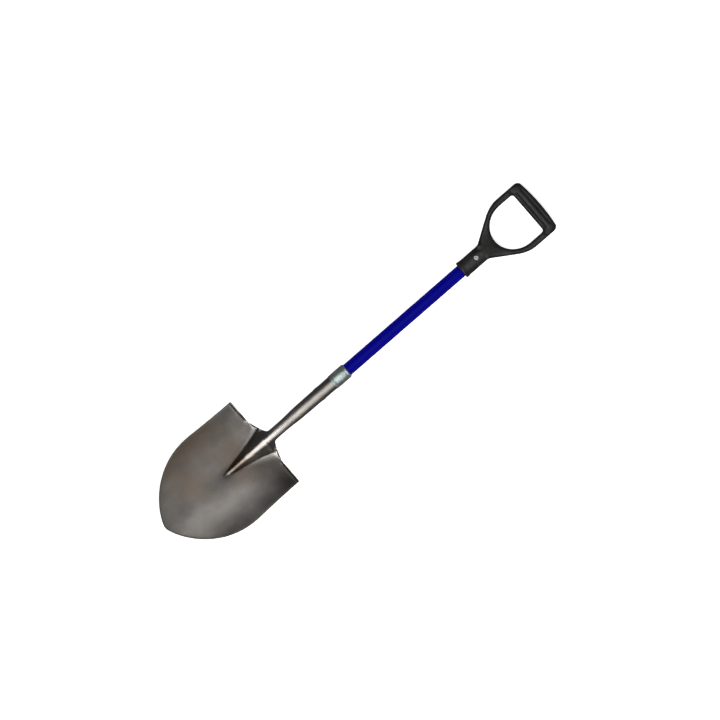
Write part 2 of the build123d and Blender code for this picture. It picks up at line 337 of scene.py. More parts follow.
def turned(name: str, profile: list[Point], origin: Vector, axis: Vector, steps: int) -> bpy.types.Object:
    """Turn a closed profile round an axis, as on a lathe.

    Args:
        name: The piece's name.
        profile: The closed outline, as pairs of distance along the axis and radius.
        origin: Where distance 0 lies.
        axis: The direction of the axis.
        steps: How many flats go round.

    Returns:
        The turned piece, which is closed wherever the profile is.
    """
    turn = axis.to_track_quat("Z", "Y").to_matrix()
    points = []
    for i in range(steps):
        angle = 2 * math.pi * i / steps
        for along, radius in profile:
            spoke = Vector((radius * math.cos(angle), radius * math.sin(angle), along))
            points.append(origin + turn @ spoke)
    count = len(profile)
    faces = []
    for i in range(steps):
        low = i * count
        high = (i + 1) % steps * count
        faces += [(low + j, low + (j + 1) % count, high + (j + 1) % count, high + j) for j in range(count)]
    piece = new_piece(name, points, faces)
    tidy_mesh(piece)
    return piece


def rounded(corners: list[Corner], steps: int = 4) -> list[Point]:
    """Round the corners of a closed outline.

    Args:
        corners: Each corner's two coordinates and its radius.
        steps: How many points an arc has, less one.

    Returns:
        The outline's points.
    """
    outline: list[Point] = []
    for k, (a, b, radius) in enumerate(corners):
        here = Vector((a, b))
        back = (Vector(corners[k - 1][:2]) - here).normalized()
        ahead = (Vector(corners[(k + 1) % len(corners)][:2]) - here).normalized()
        if radius <= 0:
            outline.append((a, b))
            continue
        for i in range(steps + 1):
            share = i / steps
            start, end = here + back * radius, here + ahead * radius
            bent = start.lerp(here, share).lerp(here.lerp(end, share), share)
            outline.append((bent.x, bent.y))
    return outline


def carve(piece: bpy.types.Object, tool: bpy.types.Object, operation: str) -> None:
    """Join a tool to a piece, or cut it away, and remove the tool.

    Args:
        piece: The piece that changes.
        tool: A closed mesh.
        operation: UNION or DIFFERENCE.
    """
    modifier = piece.modifiers.new("carve", "BOOLEAN")
    modifier.operation = operation
    modifier.solver = "EXACT"
    modifier.object = tool
    settle(piece)
    bpy.data.objects.remove(tool)


# ---------------------------------------------------------------- finishes


class Shader:
    """A material's node tree, with the few patterns that the finishes share."""

    def __init__(self, name: str) -> None:
        """Start a material with one Principled shader on Object coordinates."""
        self.material = bpy.data.materials.new(name)
        self.material.use_nodes = True
        self.tree = self.material.node_tree
        self.surface = self.tree.nodes["Principled BSDF"]
        self.coordinates = self.tree.nodes.new("ShaderNodeTexCoord").outputs["Object"]

    def stretched(self, scale: Scale) -> bpy.types.NodeSocket:
        """Return the piece's coordinates, stretched by a Mapping node."""
        node = self.tree.nodes.new("ShaderNodeMapping")
        node.inputs["Scale"].default_value = scale
        wire(self.tree, (self.coordinates, node.inputs["Vector"]))
        return node.outputs["Vector"]

    def place(self) -> tuple[Field, Field, Field]:
        """Return the piece's own coordinates as three fields."""
        node = self.tree.nodes.new("ShaderNodeSeparateXYZ")
        wire(self.tree, (self.coordinates, node.inputs[0]))
        x, y, z = (Field(self.tree, socket) for socket in node.outputs)
        return x, y, z

    def attribute(self, name: str) -> Field:
        """Return one of the mesh's own attributes."""
        node = self.tree.nodes.new("ShaderNodeAttribute")
        node.attribute_name = name
        return Field(self.tree, node.outputs["Fac"])

    def noise(self, scale: Scale, detail: float, rough: float) -> Field:
        """Add a noise pattern.

        Args:
            scale: Its fineness along each axis, in cycles per metre.
            detail: Its octaves.
            rough: How strong the finer octaves are.

        Returns:
            The pattern, from 0 to 1.
        """
        node = self.tree.nodes.new("ShaderNodeTexNoise")
        node.inputs["Scale"].default_value = 1.0
        node.inputs["Detail"].default_value = detail
        node.inputs["Roughness"].default_value = rough
        wire(self.tree, (self.stretched(scale), node.inputs["Vector"]))
        return Field(self.tree, node.outputs["Fac"])

    def spots(self, scale: float) -> Field:
        """Add a cell pattern, such as spangle, from 0 to 1."""
        node = self.tree.nodes.new("ShaderNodeTexVoronoi")
        node.inputs["Scale"].default_value = scale
        wire(self.tree, (self.coordinates, node.inputs["Vector"]))
        split = self.tree.nodes.new("ShaderNodeSeparateColor")
        wire(self.tree, (node.outputs["Color"], split.inputs["Color"]))
        return Field(self.tree, split.outputs["Red"])

    def ramp(self, pattern: Field, *stops: tuple[float, Colour]) -> bpy.types.NodeSocket:
        """Colour a pattern.

        Args:
            pattern: The pattern.
            stops: Each stop's place and colour.

        Returns:
            The colour.
        """
        node = self.tree.nodes.new("ShaderNodeValToRGB")
        elements = node.color_ramp.elements
        while len(elements) < len(stops):
            elements.new(0.5)
        for element, (place, colour) in zip(elements, stops):
            element.position = place
            element.color = (*colour, 1.0)
        wire(self.tree, (pattern.socket, node.inputs["Fac"]))
        return node.outputs["Color"]

    def blend(
        self,
        mode: str,
        share: "Field | float",
        base: bpy.types.NodeSocket,
        top: "bpy.types.NodeSocket | Colour",
    ) -> bpy.types.NodeSocket:
        """Blend a colour over another.

        Args:
            mode: The Mix node's blend type.
            share: How much of the top colour shows.
            base: The colour below.
            top: The colour on top, as a socket or three numbers.

        Returns:
            The blended colour.
        """
        node = self.tree.nodes.new("ShaderNodeMix")
        node.data_type = "RGBA"
        node.blend_type = mode
        factor, below, above = node.inputs[0], node.inputs[6], node.inputs[7]
        if isinstance(share, Field):
            wire(self.tree, (share.socket, factor))
        else:
            factor.default_value = share
        wire(self.tree, (base, below))
        if isinstance(top, bpy.types.NodeSocket):
            wire(self.tree, (top, above))
        else:
            above.default_value = (*top, 1.0)
        return node.outputs[2]

    def bump(self, height: Field, strength: float, distance: float) -> None:
        """Add a relief to the surface, over any that it has.

        Args:
            height: The relief's pattern.
            strength: How much of it shows.
            distance: Its depth in metres.
        """
        node = self.tree.nodes.new("ShaderNodeBump")
        node.inputs["Strength"].default_value = strength
        node.inputs["Distance"].default_value = distance
        wire(self.tree, (height.socket, node.inputs["Height"]))
        normal = self.surface.inputs["Normal"]
        if normal.links:
            wire(self.tree, (normal.links[0].from_socket, node.inputs["Normal"]))
        wire(self.tree, (node.outputs["Normal"], normal))

    def set(self, **values: float) -> None:
        """Set plain numbers on the shader's own sockets, words joined by _."""
        for name, value in values.items():
            self.surface.inputs[name.replace("_", " ")].default_value = value

    def drive(self, name: str, source: "Field | bpy.types.NodeSocket") -> None:
        """Link a pattern or a colour to one of the shader's sockets."""
        socket = source.socket if isinstance(source, Field) else source
        wire(self.tree, (socket, self.surface.inputs[name]))


@dataclass(frozen=True)
class LacqueredSteel:
    """Rolled and tempered sheet under clear lacquer, with heat tint, rolling marks and dark sheared edges,
    and painted shade in the steps' bends, beside the ridge towards the tread and on the ridge's nose.

    Places along X and Y are in the frame's own axes. A rate is how much a
    mask rises in a metre.
    """

    name: str = "lacquered_steel"
    dark: Colour = (0.135, 0.126, 0.117)
    middle: Colour = (0.190, 0.175, 0.162)
    light: Colour = (0.255, 0.240, 0.225)
    tint: Colour = (0.190, 0.145, 0.108)
    # Tone that the painted shade multiplies the steel by.
    painted_shade_tone: Colour = (0.30, 0.29, 0.28)
    # Colour of the dark sheared edges, also used as painted shade in the bend of the turned steps.
    rim: Colour = (0.055, 0.052, 0.048)
    dark_edge_and_bend_shade_share: float = 0.85
    grey: Colour = (0.75, 0.75, 0.75)
    white: Colour = (1.0, 1.0, 1.0)
    rolling_share: float = 0.35
    metallic: float = 0.92
    roughness: float = 0.21
    rim_roughness: float = 0.25
    socket_roughness: float = 0.12
    socket_start: float = -0.232
    tint_end: float = -0.27
    tint_middle: float = -0.33
    tint_most: float = 0.8
    # Painted shade towards the tread on the right of the ridge: its strength and the reaches where it fades
    # in and out.
    corner_shade_strength: float = 0.6
    corner_start: float = -0.335
    corner_end: float = -0.236
    # Painted shade on the ridge towards its nose, which dims the crest's highlight: strength, reaches and
    # half width.
    nose_shade_strength: float = 0.85
    nose_start: float = -0.266
    nose_end: float = -0.37
    nose_half_width: float = 1.2 / 70.0
    mark_x: float = -0.24
    mark_y: float = 0.024
    mark_slope: float = 0.35
    mark_fineness: float = 160.0
    mark_start: float = -0.30

    def build(self) -> bpy.types.Material:
        """Return the finish."""
        shader = Shader(self.name)
        x, y, _ = shader.place()
        # The rim attribute holds the dark sheared edges and the painted shade in the steps' bends.
        edge = shader.attribute("rim")
        cloud = shader.noise((13.0, 17.0, 17.0), 4.0, 0.5)
        rolling = shader.noise((45.0, 900.0, 900.0), 3.0, 0.6)
        colour = shader.ramp(cloud, (0.32, self.dark), (0.52, self.middle), (0.72, self.light))
        colour = shader.blend("MIX", self.heat(shader, x, y), colour, self.tint)
        marks = shader.ramp(rolling, (0.3, self.grey), (0.7, self.white))
        colour = shader.blend("MULTIPLY", self.rolling_share, colour, marks)
        # Painted shade: darker steel towards the tread on the right of the ridge, and on the ridge towards
        # its nose.
        colour = shader.blend("MULTIPLY", self.painted_corner_shade(x, y) * self.corner_shade_strength, colour, self.painted_shade_tone)
        colour = shader.blend("MULTIPLY", self.painted_nose_shade(x, y) * self.nose_shade_strength, colour, self.painted_shade_tone)
        # Dark sheared edges, and painted shade in the bend of the turned steps.
        colour = shader.blend("MIX", edge * self.dark_edge_and_bend_shade_share, colour, self.rim)
        shader.drive("Base Color", colour)
        shader.set(Metallic=self.metallic)
        worn = rolling * 0.08 + cloud * 0.10 + edge * self.rim_roughness
        scaled = x.rise(self.socket_start, 30.0) * self.socket_roughness
        shader.drive("Roughness", worn + scaled + self.roughness)
        shader.bump(rolling, 0.10, 0.00015)
        shader.bump(self.draw_mark(x, y), 1.0, 0.0016)
        shader.bump(shader.noise((38.0, 38.0, 38.0), 3.0, 0.5), 0.22, 0.0008)
        return shader.material

    def heat(self, shader: Shader, x: Field, y: Field) -> Field:
        """Return how far tempering has tinted the blade, which leaves the socket bare."""
        drift = (shader.noise((9.0, 11.0, 11.0), 3.0, 0.5) - 0.42) * 3.0
        warm = drift + (x - self.tint_middle) * 3.0 + y * 5.0
        return warm.at_least(0.0).at_most(x.rise(self.tint_end, -20.0).at_most(self.tint_most))

    def painted_corner_shade(self, x: Field, y: Field) -> Field:
        """Return the painted shade towards the tread, on the right of the ridge."""
        return x.rise(self.corner_start, 14.0) * y.rise(0.0, -36.0) * x.rise(self.corner_end, -60.0)

    def painted_nose_shade(self, x: Field, y: Field) -> Field:
        """Return the painted shade on the ridge towards its nose, which dims the crest's highlight."""
        along = x.rise(self.nose_start, -20.0) * x.rise(self.nose_end, 40.0)
        return along * y.maths("ABSOLUTE").rise(self.nose_half_width, -70.0)

    def draw_mark(self, x: Field, y: Field) -> Field:
        """Return the shallow mark the press draws beside the ridge, fanning to the tread."""
        outward = y.maths("ABSOLUTE") - (x - self.mark_x) * self.mark_slope - self.mark_y
        across = (square(outward * self.mark_fineness) * -1.0 + 1.0).at_least(0.0)
        return across * across * x.rise(self.mark_start, 22.0)


@dataclass(frozen=True)
class GalvanisedSteel:
    """Pale zinc-coated sheet with a faint spangle, brushed round the sleeve."""

    name: str = "galvanised_steel"
    pale: Colour = (0.235, 0.275, 0.268)
    deep: Colour = (0.135, 0.165, 0.160)

    def build(self) -> bpy.types.Material:
        """Return the finish."""
        shader = Shader(self.name)
        spangle = shader.spots(420.0)
        cloud = shader.noise((90.0, 90.0, 90.0), 3.0, 0.5)
        zinc = spangle * 0.35 + cloud * 0.65
        shader.drive("Base Color", shader.ramp(zinc, (0.25, self.deep), (0.7, self.pale)))
        brushed = shader.noise((2600.0, 60.0, 60.0), 2.0, 0.5)
        shader.set(Metallic=0.75)
        shader.drive("Roughness", brushed * 0.14 + spangle * 0.08 + 0.30)
        shader.bump(brushed, 0.10, 0.0001)
        return shader.material


@dataclass(frozen=True)
class PulledFibreglass:
    """Blue pulled fibreglass: resin over glass that runs along the tube."""

    name: str = "blue_fibreglass"
    deep: Colour = (0.0003, 0.0003, 0.155)
    bright: Colour = (0.0004, 0.0004, 0.200)

    def build(self) -> bpy.types.Material:
        """Return the finish."""
        shader = Shader(self.name)
        strands = shader.noise((14.0, 1100.0, 1100.0), 4.0, 0.6)
        veil = shader.noise((160.0, 420.0, 420.0), 3.0, 0.5)
        resin = strands * 0.6 + veil * 0.4
        shader.drive("Base Color", shader.ramp(resin, (0.35, self.deep), (0.65, self.bright)))
        shader.set(Specular_IOR_Level=0.03)
        shader.drive("Roughness", strands * 0.16 + 0.42)
        shader.bump(strands, 0.15, 0.0001)
        return shader.material


@dataclass(frozen=True)
class GrainedMoulding:
    """Black polypropylene with the fine grain of a spark-eroded mould."""

    name: str = "black_moulding"
    deep: Colour = (0.003, 0.003, 0.003)
    worn: Colour = (0.019, 0.019, 0.018)

    def build(self) -> bpy.types.Material:
        """Return the finish."""
        shader = Shader(self.name)
        grain = shader.noise((1500.0, 1500.0, 1500.0), 2.0, 0.5)
        pits = shader.noise((420.0, 420.0, 420.0), 3.0, 0.6)
        cloud = shader.noise((35.0, 35.0, 35.0), 3.0, 0.5)
        mottle = cloud * 0.35 + pits * 0.45 + grain * 0.2
        shader.drive("Base Color", shader.ramp(mottle, (0.38, self.deep), (0.62, self.worn)))
        shader.set(Specular_IOR_Level=0.20)
        shader.drive("Roughness", grain * 0.16 + 0.38)
        shader.bump(grain, 0.35, 0.0002)
        shader.bump(pits, 0.35, 0.0005)
        return shader.material


@dataclass(frozen=True)
class RivetSteel:
    """Plated rivet steel with faint setting marks."""

    name: str = "rivet_steel"
    bright: Colour = (0.19, 0.19, 0.185)
    dull: Colour = (0.12, 0.12, 0.115)

    def build(self) -> bpy.types.Material:
        """Return the finish."""
        shader = Shader(self.name)
        marks = shader.noise((700.0, 700.0, 700.0), 3.0, 0.6)
        shader.drive("Base Color", shader.ramp(marks, (0.35, self.dull), (0.6, self.bright)))
        shader.set(Metallic=1.0)
        shader.drive("Roughness", marks * 0.2 + 0.18)
        shader.bump(marks, 0.15, 0.0001)
        return shader.material


@dataclass(frozen=True)
class CoreTimber:
    """Pale turned timber for the cores that are hidden in the tube."""

    name: str = "core_timber"
    early: Colour = (0.62, 0.45, 0.27)
    late: Colour = (0.42, 0.27, 0.14)

    def build(self) -> bpy.types.Material:
        """Return the finish."""
        shader = Shader(self.name)
        rings = shader.noise((12.0, 340.0, 340.0), 3.0, 0.6)
        shader.drive("Base Color", shader.ramp(rings, (0.4, self.late), (0.6, self.early)))
        shader.drive("Roughness", rings * 0.2 + 0.55)
        shader.bump(rings, 0.2, 0.0002)
        return shader.material


def dress_node(node: str, material: bpy.types.Material) -> None:
    """Give a CAD node's object a finish through its material slots.

    Args:
        node: The node's name.
        material: The finish.
    """
    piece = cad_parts[node]
    if not piece.material_slots:
        piece.data.materials.append(material)
    for slot in piece.material_slots:
        slot.material = material


def enter(piece: bpy.types.Object, slot: Slot, *nodes: str) -> None:
    """Ride a finished piece on the shovel, hide the CAD nodes it stands for and log its slot.

    Args:
        piece: The finished piece.
        slot: The record's slot that its finish belongs to.
        nodes: The CAD nodes that it replaces.
    """
    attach(piece, "root")
    if nodes:
        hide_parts(*nodes)
    LOG.info("%s: %d faces, slot %s", piece.name, len(piece.data.polygons), slot.value)


# ---------------------------------------------------------------- sub-assemblies


@dataclass(frozen=True)
class Datum:
    """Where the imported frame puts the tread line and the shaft's axis."""

    tread_x: float
    axis_z: float

    @classmethod
    def from_frame(cls) -> "Datum":
        """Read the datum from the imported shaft."""
        low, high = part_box("shaft_tube")
        return cls(low.x - SHAFT_START, (low.z + high.z) / 2)

    def at(self, reach: float, y: float = 0.0, z: float = 0.0) -> Vector:
        """Return a point by its reach and its offsets from the shaft's axis."""
        return Vector((self.tread_x + reach, y, self.axis_z + z))


@dataclass
class Blade:
    """Blade, turned steps and rolled socket, pressed from one sheet.

    The flat pattern is drawn first, with its steps already turned up. A
    Geometry Nodes tree then presses it: it raises the dish and the ridge by
    rule, and takes the tail over to the place that each point has once it is
    rolled into the socket.
    """

    datum: Datum
    finish: bpy.types.Material
    sheet: float = 1.9 * MM
    tip_reach: float = -272.0 * MM
    tip_flat: float = 0.4 * MM
    widest_reach: float = -114.0 * MM
    widest_half_width: float = 111.2 * MM
    tread_half_width: float = 108.4 * MM
    point_fullness: float = 2.2
    point_roundness: float = 0.725
    heel_depth: float = 21.25 * MM
    heel_slope: float = math.tan(math.radians(12.5))
    heel_softness: float = 3.0 * MM
    lengthwise_dish: float = 0.52
    dish_radius: float = 276.0 * MM
    ridge_top: float = 13.0 * MM
    ridge_fall: float = 0.045
    skirt_share: float = 0.42
    skirt_width: float = 1.75
    skirt_length: float = 80.0 * MM
    ridge_length: float = 108.0 * MM
    ridge_half_base: float = 28.0 * MM
    ridge_end_half_base: float = 5.5 * MM
    ridge_fullness: float = 1.4
    ridge_softness: float = 3.0 * MM
    crest_softness: float = 18.0 * MM
    shoulder_half_width: float = 50.0 * MM
    neck_reach: float = 46.0 * MM
    neck_radius: float = 12.2 * MM
    neck_end: float = 100.0 * MM
    socket_start_radius: float = 14.3 * MM
    neck_roll: float = 3.2
    mouth_reach: float = SOCKET_MOUTH
    mouth_radius: float = 15.2 * MM
    seam_half_angle: float = math.radians(9.0)
    step_height: float = 10.5 * MM
    step_bend_radius: float = 6.0 * MM
    step_run_in: float = 34.0 * MM
    least_turn: float = 0.01
    least_straight: float = 0.2 * MM
    rim_width: float = 1.6 * MM
    rim_sample: float = 1.0 * MM
    # Painted shade in the bend of the turned steps: its strength, the reaches where it fades, and how far out
    # it grows.
    step_shade: float = 0.9
    shade_start: float = -2.2 * sheet
    shade_end: float = -1.1 * sheet
    shade_half_width: float = tread_half_width / 1.7
    edge_ease: float = 0.45 * MM
    edge_angle: float = math.radians(55)
    blade_rows: int = 130
    blade_row_power: float = 1.7
    step_rows: int = 9
    socket_rows: int = 64
    socket_row_power: float = 1.6
    centre_columns: int = 33
    even_share: float = 0.3
    spread_power: float = 3.3
    wing_columns: int = 15

    def half_width(self, reach: float) -> float:
        """Return half the blade's width at a reach."""
        from_tip = reach - self.tip_reach
        to_widest = self.widest_reach - self.tip_reach
        if from_tip < to_widest:
            share = 1 - (1 - from_tip / to_widest) ** self.point_fullness
            return self.widest_half_width * share**self.point_roundness
        ease = (1 - (reach - self.widest_reach) / -self.widest_reach) ** 2
        return mix(self.tread_half_width, self.widest_half_width, ease)

    def socket_radius(self, reach: float) -> float:
        """Return the outer radius of the rolled socket at a reach."""
        waist = mix(self.neck_radius, self.socket_start_radius, smooth(reach, self.neck_reach, self.neck_end))
        taper = max(0.0, (reach - self.neck_end) / (self.mouth_reach - self.neck_end))
        return waist + (self.mouth_radius - self.socket_start_radius) * taper

    def columns(self) -> list[tuple[float, float | None]]:
        """Lay out the pattern's columns across the blade.

        Returns:
            For each column its share of the blade's half width, and its place
            round the socket from -1 to 1, or None if it ends at the steps.
        """
        inner = self.shoulder_half_width / self.tread_half_width
        middle = self.centre_columns - 1
        layout: list[tuple[float, float | None]] = []
        for k in range(-middle, middle + 1):
            turn = k / middle
            spread = self.even_share * abs(turn) + (1 - self.even_share) * abs(turn) ** self.spread_power
            layout.append((inner * math.copysign(spread, turn), turn))
        for k in range(1, self.wing_columns + 1):
            share = mix(inner, 1.0, k / self.wing_columns)
            layout.append((share, None))
            layout.insert(0, (-share, None))
        return layout

    @property
    def bend_start(self) -> float:
        """Reach at which the flat sheet starts to turn up into the steps."""
        return -(self.step_bend_radius + self.sheet)

    def turned_step(self, y: float, share: float) -> Point:
        """Follow the sheet from where it leaves the blade, up through the step.

        Args:
            y: How far from the middle of the blade.
            share: How far along that last strip of sheet, from 0 to 1.

        Returns:
            The reach, and the height above the blade.
        """
        fold = smooth(abs(y), self.shoulder_half_width, self.shoulder_half_width + self.step_run_in)
        radius = self.step_bend_radius
        turn = fold * math.pi / 2
        arc_reach = self.bend_start + radius * math.sin(turn)
        arc_lift = radius * (1 - math.cos(turn))
        to_tread = (-arc_reach - self.sheet * math.sin(turn)) / max(math.cos(turn), self.least_turn)
        to_top = (self.step_height - arc_lift) / max(math.sin(turn), self.least_turn)
        straight = max(min(to_tread, to_top), self.least_straight)
        along = share * (radius * turn + straight)
        bent = min(along / radius, turn)
        beyond = max(along - radius * turn, 0.0)
        reach = self.bend_start + radius * math.sin(bent) + beyond * math.cos(turn)
        return reach, radius * (1 - math.cos(bent)) + beyond * math.sin(turn)

    def rim(self, point: Vector) -> float:
        """Return how dark a point's colour is, at a sheared edge or in the painted shade of the steps' bends.

        Args:
            point: A point of the flat pattern.

        Returns:
            1 on the blade's cut outline, falling to 0 a few millimetres
            inside it, and a little less than 1 in the bend of the steps, which is painted shade.
        """
        reach, y = point.x - self.datum.tread_x, abs(point.y)
        if reach > 0:
            return 0.0
        # Painted shade in the bend of the turned steps.
        if reach > self.bend_start and y > self.shoulder_half_width:
            bend = 1 - smooth(reach, self.shade_start, self.shade_end)
            return bend * self.step_shade * smooth(y, self.shoulder_half_width, self.shade_half_width)
        width = self.half_width(max(reach, self.tip_reach))
        after = self.half_width(min(reach + self.rim_sample, 0.0))
        lean = math.hypot(1.0, (after - width) / self.rim_sample)
        return math.exp(-(width - y) / lean / self.rim_width)

    def pattern(self) -> bpy.types.Object:
        """Draw the flat pattern, with what the press needs to know at each point."""
        columns = self.columns()
        width = len(columns)
        points: list[Vector] = []
        start, end = self.tip_reach + self.tip_flat, self.bend_start
        for i in range(self.blade_rows + 1):
            reach = mix(start, end, (i / self.blade_rows) ** self.blade_row_power)
            for share, _ in columns:
                points.append(self.datum.at(reach, share * self.half_width(reach)))
        lift = [0.0] * len(points)
        for i in range(1, self.step_rows + 1):
            for share, _ in columns:
                y = share * self.tread_half_width
                reach, height = self.turned_step(y, i / self.step_rows)
                points.append(self.datum.at(reach, y))
                lift.append(height)
        faces = grid_faces(self.blade_rows + self.step_rows + 1, width)
        rolled = [0.0] * len(points)
        places = [Vector()] * len(points)
        tail = [j for j, (_, turn) in enumerate(columns) if turn is not None]
        last = [len(points) - width + j for j in tail]
        for i in range(1, self.socket_rows + 1):
            reach = self.mouth_reach * (i / self.socket_rows) ** self.socket_row_power
            radius = self.socket_radius(reach)
            row = []
            for j in tail:
                share, turn = columns[j]
                angle = turn * (math.pi - self.seam_half_angle)
                row.append(len(points))
                points.append(self.datum.at(reach, share * self.tread_half_width))
                lift.append(0.0)
                rolled.append(1 - max(0.0, 1 - reach / self.neck_reach) ** self.neck_roll)
                places.append(self.datum.at(reach, radius * math.sin(angle), radius * math.cos(angle)))
            faces += [(last[k], last[k + 1], row[k + 1], row[k]) for k in range(len(row) - 1)]
            last = row
        piece = new_piece("blade_sheet", points, [face[::-1] for face in faces])
        mesh = piece.data
        mesh.attributes.new("lift", "FLOAT", "POINT").data.foreach_set("value", lift)
        mesh.attributes.new("rolled", "FLOAT", "POINT").data.foreach_set("value", rolled)
        # Dark sheared edges, and painted shade in the steps' bends.
        rim = [self.rim(point) for point in points]
        mesh.attributes.new("rim", "FLOAT", "POINT").data.foreach_set("value", rim)
        flat = [number for place in places for number in place]
        mesh.attributes.new("rolled_place", "FLOAT_VECTOR", "POINT").data.foreach_set("vector", flat)
        return piece

    def press(self) -> FormTree:
        """Build the tree that presses the pattern by the blade's own rule."""
        form = FormTree(
            "press_blade",
            {
                "Tread X": self.datum.tread_x,
                "Axis height": self.datum.axis_z,
                "Heel depth": self.heel_depth,
                "Heel slope": self.heel_slope,
                "Heel softness": self.heel_softness,
                "Lengthwise dish": self.lengthwise_dish,
                "Dish radius": self.dish_radius,
                "Ridge top": self.ridge_top,
                "Ridge fall": self.ridge_fall,
                "Skirt share": self.skirt_share,
                "Skirt width": self.skirt_width,
                "Skirt length": self.skirt_length,
                "Ridge narrowing": (self.ridge_half_base - self.ridge_end_half_base) / self.ridge_length,
                "Ridge half base": self.ridge_half_base,
                "Ridge end half base": self.ridge_end_half_base,
                "Ridge softness": self.ridge_softness,
                "Crest softness": self.crest_softness,
                "Ridge fullness": self.ridge_fullness,
            },
        )
        place = form.node("ShaderNodeSeparateXYZ")
        wire(form.tree, (form.node("GeometryNodeInputPosition").outputs[0], place.inputs[0]))
        x, y, z = (Field(form.tree, socket) for socket in place.outputs)
        s = form.size("Tread X") - x
        heel = s.soft_positive(form.size("Heel softness")) * form.size("Heel slope")
        belly = heel - form.size("Heel depth") + square(s.at_least(0.0)) * form.size("Lengthwise dish")
        half_base = form.size("Ridge half base") - s * form.size("Ridge narrowing")
        half_base = half_base.at_least(form.size("Ridge end half base"))
        fall = s.soft_positive(form.size("Crest softness")) * form.size("Ridge fall")
        crest = form.size("Ridge top") - fall
        ridge = (crest - belly).soft_positive(form.size("Ridge softness"))
        crown = (y / half_base).hill(form.size("Ridge fullness"))
        skirt = (y / (half_base * form.size("Skirt width"))).hill(1.0)
        faded = (form.size("Skirt length") - s.at_least(0.0)).at_least(0.0) / form.size("Skirt length")
        rise = crown + (skirt - crown) * faded * form.size("Skirt share")
        height = belly + square(y) / (form.size("Dish radius") * 2.0) + ridge * rise
        height = height + form.size("Axis height") + self.named(form, "lift", "FLOAT")
        pressed = form.node("ShaderNodeCombineXYZ")
        wire(form.tree, *zip((x.socket, y.socket, height.socket), pressed.inputs))
        blend = form.node("ShaderNodeMix", data_type="VECTOR")
        wire(
            form.tree,
            (self.named(form, "rolled", "FLOAT").socket, blend.inputs[0]),
            (pressed.outputs[0], blend.inputs[4]),
            (self.named(form, "rolled_place", "FLOAT_VECTOR").socket, blend.inputs[5]),
        )
        move = form.node("GeometryNodeSetPosition")
        wire(
            form.tree,
            (form.inputs.outputs["Geometry"], move.inputs["Geometry"]),
            (blend.outputs[1], move.inputs["Position"]),
        )
        form.close(move.outputs["Geometry"], self.finish)
        return form

    @staticmethod
    def named(form: FormTree, name: str, kind: str) -> Field:
        """Read an attribute of the pattern in the tree.

        Args:
            form: The tree.
            name: The attribute's name.
            kind: The attribute's data type.

        Returns:
            The attribute as a field.
        """
        node = form.node("GeometryNodeInputNamedAttribute", data_type=kind)
        node.inputs["Name"].default_value = name
        return Field(form.tree, next(socket for socket in node.outputs if socket.enabled))

    def build(self) -> bpy.types.Object:
        """Press the sheet, give it its thickness and ease its cut edges."""
        piece = self.pattern()
        self.press().form(piece)
        for name in ("lift", "rolled", "rolled_place"):
            piece.data.attributes.remove(piece.data.attributes[name])
        tidy_mesh(piece, outward=False)
        wall = piece.modifiers.new("wall", "SOLIDIFY")
        wall.thickness = self.sheet
        wall.offset = -1.0
        wall.use_even_offset = True
        ease = piece.modifiers.new("ease", "BEVEL")
        ease.width = self.edge_ease
        ease.segments = 2
        ease.limit_method = "ANGLE"
        ease.angle_limit = self.edge_angle
        settle(piece)
        for face in piece.data.polygons:
            face.use_smooth = True
        enter(piece, Slot.STEEL, "blade")
        return piece


@dataclass
class Shaft:
    """Pulled fibreglass tube, tapered where it is driven into the socket."""

    datum: Datum
    finish: bpy.types.Material
    radius: float = 13.4 * MM
    bore_radius: float = 9.5 * MM
    start_radius: float = 11.9 * MM
    mouth_radius: float = 13.25 * MM
    start: float = SHAFT_START
    mouth: float = SOCKET_MOUTH
    mouth_step: float = 1.0 * MM
    end: float = 600.0 * MM
    end_round: float = 0.8 * MM
    flats: int = 96

    def build(self) -> bpy.types.Object:
        """Turn the tube, with its bore."""
        corners = [
            (self.start, self.bore_radius, 0.0),
            (self.start, self.start_radius, self.end_round),
            (self.mouth, self.mouth_radius, 0.0),
            (self.mouth + self.mouth_step, self.radius, 0.0),
            (self.end, self.radius, self.end_round),
            (self.end, self.bore_radius, 0.0),
        ]
        piece = turned("shaft", rounded(corners), self.datum.at(0.0), ALONG, self.flats)
        piece.data.materials.append(self.finish)
        enter(piece, Slot.FIBREGLASS, "shaft_tube")
        return piece


